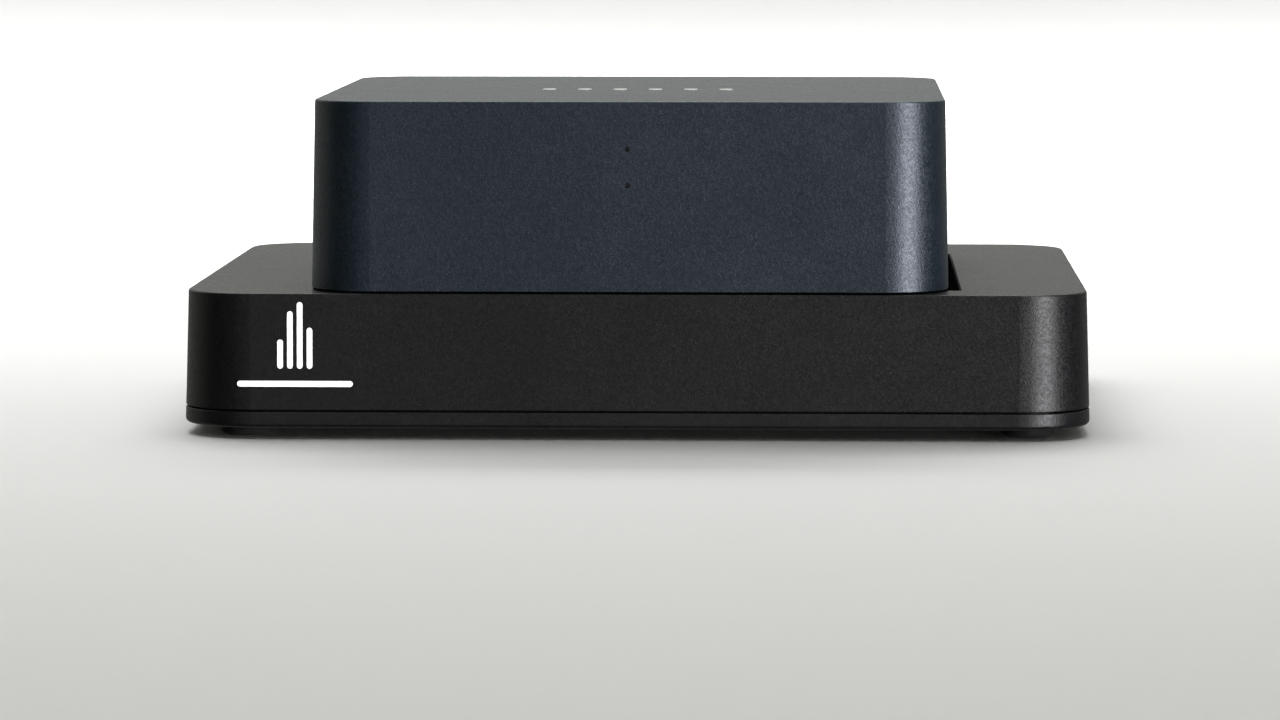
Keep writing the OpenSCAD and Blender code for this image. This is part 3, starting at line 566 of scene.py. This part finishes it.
def outlet_contacts():
    """Four sprung contacts under the power outlet's tongue."""
    shape = Shape()
    for x in (-3.5, -1.0, 1.0, 3.5):
        shape.strip(OUTLET_X + x,
                    [(66.0, 13.0), (70.0, 12.95), (73.2, 12.6), (75.0, 12.55), (76.4, 12.95)],
                    1.1, 0.12)
    shape.finish("outlet_contacts", "contact_gold", "dock")


PRINT_SUNK = 0.01
PRINT_PROUD = 0.03
RING_THICK = 0.04


def printed_frame(shape, x0, x1, z0, z1, y, line):
    """A thin printed frame round a group of sockets."""
    bars = [((x0, z1 - line), (x1, z1)), ((x0, z0), (x1, z0 + line)),
            ((x0, z0 + line), (x0 + line, z1 - line)), ((x1 - line, z0 + line), (x1, z1 - line))]
    for low, high in bars:
        shape.block((low[0], y - PRINT_SUNK, low[1]), (high[0], y + PRINT_PROUD, high[1]))


def printed_arrow(shape, x, z, y, size, up):
    """A printed triangle: up for a socket that sends, down for one that takes in."""
    tip = size * (0.6 if up else -0.6)
    shape.plate([(x - size / 2, z - tip / 2), (x + size / 2, z - tip / 2), (x, z + tip / 2)],
                y - PRINT_SUNK, y + PRINT_PROUD)


def receiver_prints():
    """Plain printed signs on the receiver's rear panel: rings, a frame and arrows."""
    shape = Shape()
    face = RECEIVER_FACE
    shape.ring((-18.5, face - PRINT_SUNK, 43.7), REARWARD, 3.55, 3.75, RING_THICK)
    shape.ring((-25.8, face - PRINT_SUNK, 45.0), REARWARD, 2.85, 3.05, RING_THICK)
    printed_frame(shape, 22.8, 49.2, 39.7, 66.3, face, 0.25)
    printed_arrow(shape, -8.5, 53.0, face, 2.0, False)
    printed_arrow(shape, 3.3, 53.0, face, 2.0, True)
    printed_arrow(shape, 15.5, 53.6, face, 2.0, True)
    printed_arrow(shape, RECEIVER_INLET[0], 46.0, face, 2.0, False)
    shape.finish("receiver_prints", "mark_ink", "receiver")


def dock_prints():
    """Plain printed signs on the dock's rear panel: rings and arrows."""
    shape = Shape()
    face, z = DOCK_FACE, DOCK_SOCKET_Z
    for x in (14.0, 26.0):
        shape.ring((x, face - PRINT_SUNK, z), REARWARD, 3.75, 3.95, RING_THICK)
    shape.ring((0.0, face - PRINT_SUNK, z), REARWARD, 3.0, 3.2, RING_THICK)
    printed_arrow(shape, -41.6, z, face, 1.8, False)
    printed_arrow(shape, -25.8, z, face, 1.8, True)
    shape.finish("dock_prints", "mark_ink", "dock")


LEG_HALF = 0.24
LEG_REACH = 0.95
LEG_HEIGHT = 0.34
LEGLESS_ENDS = 1.6


def leg_places(middle, length, pitch):
    """Where the legs stand along one side of a chip."""
    count = int((length - LEGLESS_ENDS) / pitch)
    return [middle + (i - count / 2) * pitch for i in range(count + 1)]


def chip_legs(name, body, chips):
    """Flat legs round chips: each is (x, y, board top, width, depth, pitch, four-sided)."""
    shape = Shape()
    for x, y, z, width, depth, pitch, four in chips:
        half, top = pitch * LEG_HALF, z + LEG_HEIGHT
        for at in leg_places(y, depth, pitch):
            for side in (-1, 1):
                low, high = sorted((x + side * width / 2, x + side * (width / 2 + LEG_REACH)))
                shape.block((low, at - half, z), (high, at + half, top))
        for at in leg_places(x, width, pitch) if four else []:
            for side in (-1, 1):
                low, high = sorted((y + side * depth / 2, y + side * (depth / 2 + LEG_REACH)))
                shape.block((at - half, low, z), (at + half, high, top))
    shape.finish(name, "plated_steel", body)


PART_MARGIN = 2.4
PART_SPACING = (3.0, 2.6)


def clear_places(count, low, high, taken, rng):
    """Random places between two corners that keep clear of the boxes in taken."""
    found = []
    while len(found) < count:
        x, y = rng.uniform(low[0], high[0]), rng.uniform(low[1], high[1])
        near = any(a[0] - PART_MARGIN < x < b[0] + PART_MARGIN
                   and a[1] - PART_MARGIN < y < b[1] + PART_MARGIN for a, b in taken)
        close = any(abs(x - u) < PART_SPACING[0] and abs(y - v) < PART_SPACING[1]
                    for u, v, turn in found)
        if not near and not close:
            found.append((x, y, rng.uniform() < 0.5))
    return found


BODY_HALF = (0.8, 0.45)
BODY_HEIGHTS = (0.02, 0.5)
END_HALF = (0.22, 0.5)
END_PLACE = 0.95
END_HEIGHT = 0.54


def small_parts(name, body, top, places):
    """Small resistors and capacitors: dark bodies and their tinned ends."""
    bodies, ends = Shape(), Shape()
    for x, y, turn in places:
        half, wide = BODY_HALF if turn else reversed(BODY_HALF)
        low, high = (top + height for height in BODY_HEIGHTS)
        bodies.block((x - half, y - wide, low), (x + half, y + wide, high), 0.05)
        half, wide = END_HALF if turn else reversed(END_HALF)
        for side in (-1, 1):
            u = x + side * END_PLACE if turn else x
            v = y if turn else y + side * END_PLACE
            ends.block((u - half, v - wide, top), (u + half, v + wide, top + END_HEIGHT), 0.08)
    bodies.finish(name, "chip_epoxy", body)
    ends.finish(name + "_ends", "plated_steel", body)


def flat_boxes(names):
    """Each node's box in millimetres, seen from above."""
    found = []
    for name in names:
        low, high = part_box(name)
        found.append(((low.x / MM, low.y / MM), (high.x / MM, high.y / MM)))
    return found


def board_parts():
    """Small parts scattered over the free areas of both boards."""
    rng = np.random.default_rng(7)
    on_main = flat_boxes(["radio_board", "heat_sink", "memory_chips", "audio_chips",
                          "filter_capacitors", "lan_shield", "optical_jacks", "phono_blocks",
                          "trigger_jack", "pair_switch", "usb_inlet_shell", "light_ribbon"])
    main_places = clear_places(70, (-52.0, -66.0), (50.0, 40.0), on_main, rng)
    main_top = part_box("main_board")[1].z / MM
    small_parts("main_board_parts", "receiver", main_top, main_places)
    on_control = flat_boxes(["control_processor", "power_inductors", "supply_capacitors",
                             "infrared_receiver", "power_inlet_core", "power_outlet_core",
                             "setup_switch", "remote_jacks"])
    on_control += [((x - 3.0, -72.0), (x + 3.0, -58.0)) for x in (-40.0, 0.0, 40.0)]
    control_places = clear_places(45, (-52.0, -56.0), (52.0, 40.0), on_control, rng)
    control_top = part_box("control_board")[1].z / MM
    small_parts("control_board_parts", "dock", control_top, control_places)


MAIN_CHIPS = [(18, 6, 8, 12, 0.8, False), (32, 6, 8, 12, 0.8, False), (22, 30, 7, 7, 0.5, True),
              (36, 30, 5, 6, 0.65, False), (48, 30, 5, 6, 0.65, False)]
MODULE_X = -1.5
MODULE_Y = -9.0


def all_chip_legs():
    """Legs of the memory and audio chips and of the dock's processor."""
    main_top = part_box("main_board")[1].z / MM
    chip_legs("main_chip_legs", "receiver",
              [(x + MODULE_X, y + MODULE_Y, main_top, width, depth, pitch, four)
               for x, y, width, depth, pitch, four in MAIN_CHIPS])
    control_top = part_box("control_board")[1].z / MM
    chip_legs("control_chip_legs", "dock", [(0, 12, control_top, 12, 12, 0.5, True)])


def make_extras():
    """Details that ride on the CAD parts; the order keeps the random draws."""
    network_contacts()
    network_lamps()
    tongue_pads("dock_inlet_pads", "dock", DOCK_INLET_X, DOCK_SOCKET_Z, DOCK_FACE)
    tongue_pads("receiver_inlet_pads", "receiver", *RECEIVER_INLET, RECEIVER_FACE)
    outlet_contacts()
    receiver_prints()
    dock_prints()
    board_parts()
    all_chip_legs()


# Width in millimetres of the bevel that each part gets
SOFTENED = {"phono_sleeves": 0.12, "phono_rings_white": 0.12, "phono_rings_red": 0.12,
            "phono_ring_orange": 0.12, "phono_contacts": 0.06, "optical_jacks": 0.12,
            "optical_out_flap": 0.12, "optical_in_flap": 0.12, "lan_shield": 0.08, "lan_core": 0.1,
            "pair_button": 0.2, "setup_button": 0.2, "remote_jacks": 0.2, "trigger_jack": 0.2,
            "usb_inlet_shell": 0.08, "power_inlet_shell": 0.08, "power_outlet_shell": 0.08,
            "usb_inlet_core": 0.05, "power_inlet_core": 0.05, "power_outlet_core": 0.1,
            "module_pads": 0.4, "heat_sink": 0.1, "dock_rear_panel": 0.08, "module_rear_panel": 0.08}


def soften_edges():
    """Narrow bevels on small parts that would be dead sharp otherwise."""
    for name, width in SOFTENED.items():
        weld = nodes[name].modifiers.new("join_faces", "WELD")
        weld.merge_threshold = 0.001 * MM
        bevel = nodes[name].modifiers.new("soft_edges", "BEVEL")
        bevel.width = width * MM
        bevel.segments = 2
        bevel.limit_method = "ANGLE"
        bevel.angle_limit = math.radians(50.0)
        bevel.harden_normals = True


# ---- Studio ----

def studio_surface(name, colour, roughness):
    """A matt painted surface, very slightly uneven."""
    n = Nodes(name, roughness=roughness, specular=0.2)
    cloud = n.noise(400.0, 2.0)
    n.colour(n.mix(cloud, tuple(c * 0.985 for c in colour), colour))
    return n.material


FLOOR_RADIUS = 2.5
SWEEP_RADIUS = 0.9
SWEEP_STEPS = 12
BACKDROP_HEIGHT = 2.6


def make_floor():
    """A pale floor that sweeps up into a backdrop all round, far outside every camera."""
    profile = [(FLOOR_RADIUS, 0.0)]
    for i in range(1, SWEEP_STEPS + 1):
        t = math.radians(90.0 * i / SWEEP_STEPS)
        profile.append((FLOOR_RADIUS + SWEEP_RADIUS * math.sin(t), SWEEP_RADIUS * (1.0 - math.cos(t))))
    profile.append((FLOOR_RADIUS + SWEEP_RADIUS, BACKDROP_HEIGHT))
    steps = 96
    mesh = bmesh.new()
    centre = mesh.verts.new((0.0, 0.0, 0.0))
    rings = []
    for radius, z in profile:
        rings.append([mesh.verts.new((radius * math.cos(math.tau * k / steps),
                                      radius * math.sin(math.tau * k / steps), z))
                      for k in range(steps)])
    for k in range(steps):
        mesh.faces.new((centre, rings[0][k], rings[0][(k + 1) % steps]))
        for low, high in zip(rings, rings[1:]):
            mesh.faces.new((low[k], high[k], high[(k + 1) % steps], low[(k + 1) % steps]))
    data = bpy.data.meshes.new("studio_floor")
    mesh.to_mesh(data)
    mesh.free()
    data.polygons.foreach_set("use_smooth", [True] * len(data.polygons))
    floor = bpy.data.objects.new("studio_floor", data)
    bpy.context.scene.collection.objects.link(floor)
    floor.data.materials.append(studio_surface("studio_floor", (0.78, 0.78, 0.77), 0.8))
    return floor


def area_light(name, place, target, width, height, watts, colour=(1.0, 1.0, 1.0)):
    """A softbox at place that points at target, in metres and watts."""
    data = bpy.data.lights.new(name, "AREA")
    data.shape = "RECTANGLE"
    data.size = width
    data.size_y = height
    data.energy = watts
    data.color = colour
    light = bpy.data.objects.new(name, data)
    light.location = place
    light.rotation_euler = (Vector(target) - Vector(place)).to_track_quat("-Z", "Y").to_euler()
    light.visible_camera = False
    bpy.context.scene.collection.objects.link(light)
    return light


# The wall behind the object: its colour, its light below and above the horizon and what is added
# near the top, how far it is turned to the left, and how its light changes to the right
WALL_COLOUR = (1.0, 1.02, 0.94)
WALL_LOW = 0.22
WALL_HIGH = 0.33
WALL_TOP = 0.4
WALL_TURN = 0.3
WALL_LEAN = -0.25
# The room in front of the object: its light straight ahead and beside that, how far it is turned
# to the right, and how its light changes to the right
ROOM_FRONT = 0.42
ROOM_SIDE = 0.0
ROOM_TURN = 0.44
ROOM_LEAN = 0.4


def make_world():
    """A dim room with a pale wall behind the object, brightest well above the horizon."""
    world = bpy.data.worlds.new("studio")
    world.use_nodes = True
    tree = world.node_tree
    shine = tree.nodes["Background"].inputs["Color"]
    split = tree.nodes.new("ShaderNodeSeparateXYZ")
    tree.links.new(tree.nodes.new("ShaderNodeTexCoord").outputs["Generated"], split.inputs["Vector"])

    def ramp(source, low, high, to_low, to_high):
        """A smooth step from to_low to to_high."""
        node = tree.nodes.new("ShaderNodeMapRange")
        node.interpolation_type = "SMOOTHSTEP"
        for name, value in (("From Min", low), ("From Max", high), ("To Min", to_low),
                            ("To Max", to_high)):
            node.inputs[name].default_value = value
        tree.links.new(source, node.inputs["Value"])
        return node.outputs["Result"]

    def join(kind, a, b):
        """One sum on a socket and a socket or number."""
        node = tree.nodes.new("ShaderNodeMath")
        node.operation = kind
        for socket, value in zip(node.inputs, (a, b)):
            if isinstance(value, float):
                socket.default_value = value
            else:
                tree.links.new(value, socket)
        return node.outputs["Value"]

    leftward = join("MULTIPLY", split.outputs["X"], -WALL_TURN)
    behind = ramp(join("ADD", split.outputs["Y"], leftward), 0.04, 0.5, 0.0, 1.0)
    low_wall = ramp(split.outputs["Z"], -0.12, 0.12, WALL_LOW, WALL_HIGH)
    height = join("ADD", low_wall, ramp(split.outputs["Z"], 0.14, 0.4, 0.0, WALL_TOP))
    to_left = join("ADD", join("MULTIPLY", split.outputs["X"], WALL_LEAN), 1.0)
    wall = join("MULTIPLY", join("MULTIPLY", behind, height), to_left)
    rightward = join("MULTIPLY", split.outputs["X"], -ROOM_TURN)
    facing = ramp(join("ADD", split.outputs["Y"], rightward), -0.93, -0.66, ROOM_FRONT, ROOM_SIDE)
    to_right = join("ADD", join("MULTIPLY", split.outputs["X"], ROOM_LEAN), 1.0)
    front = join("MULTIPLY", facing, to_right)
    room = tree.nodes.new("ShaderNodeCombineXYZ")
    for socket, share in zip(room.inputs, WALL_COLOUR):
        tree.links.new(join("ADD", join("MULTIPLY", wall, share), front), socket)
    tree.links.new(room.outputs["Vector"], shine)
    bpy.context.scene.world = world


# Parts of the rear panels, which a small light of their own picks out of the dark
REAR_NODES = ["phono_sleeves", "phono_rings_white", "phono_rings_red", "phono_ring_orange",
              "phono_contacts", "phono_blocks", "optical_jacks", "optical_out_flap", "optical_in_flap",
              "flap_pins", "lan_shield", "lan_core", "usb_inlet_shell", "usb_inlet_core", "trigger_jack",
              "pair_button", "module_rear_panel", "dock_rear_panel", "power_inlet_shell",
              "power_inlet_core", "power_outlet_shell", "power_outlet_core", "remote_jacks",
              "setup_button"]


def make_lights(floor):
    """Soft studio light: a lit backdrop, a tall window at the front right, and light from above."""
    backdrop = area_light("backdrop_light", (0.0, 1.5, 1.3), (0.0, 1.5, 0.0), 3.0, 1.4, 55.0)
    backdrop.data.spread = math.radians(110.0)
    window = area_light("window_light", (1.19, -1.23, 1.0), (0.08, -0.08, 1.0), 0.8, 3.4,
                        32.0, (1.0, 0.975, 1.0))
    window.data.spread = math.radians(90.0)
    spared = bpy.data.collections.new("window_light_spares")
    spared.objects.link(floor)
    spared.collection_objects[0].light_linking.link_state = "EXCLUDE"
    window.light_linking.receiver_collection = spared
    window.light_linking.blocker_collection = spared
    area_light("top_light", (-0.1, 0.2, 1.5), (0.0, 0.1, 0.0), 1.2, 1.2, 14.0)
    edge = area_light("edge_light", (0.52, -0.54, 0.95), (0.06, -0.07, 0.07), 0.22, 0.22, 0.7)
    edge.data.spread = math.radians(60.0)
    edge.light_linking.receiver_collection = spared
    rear = area_light("rear_light", (-0.35, 0.75, 0.75), (0.0, 0.07, 0.05), 0.5, 0.5, 7.0)
    lit = bpy.data.collections.new("rear_light_receivers")
    for name in REAR_NODES:
        lit.objects.link(nodes[name])
    rear.light_linking.receiver_collection = lit
    floor.visible_glossy = False


make_world()
make_camera()
made_materials = make_materials()
dress(made_materials)
mend_normals()
make_extras()
soften_edges()
make_lights(make_floor())
bpy.context.scene.view_settings.view_transform = "Standard"
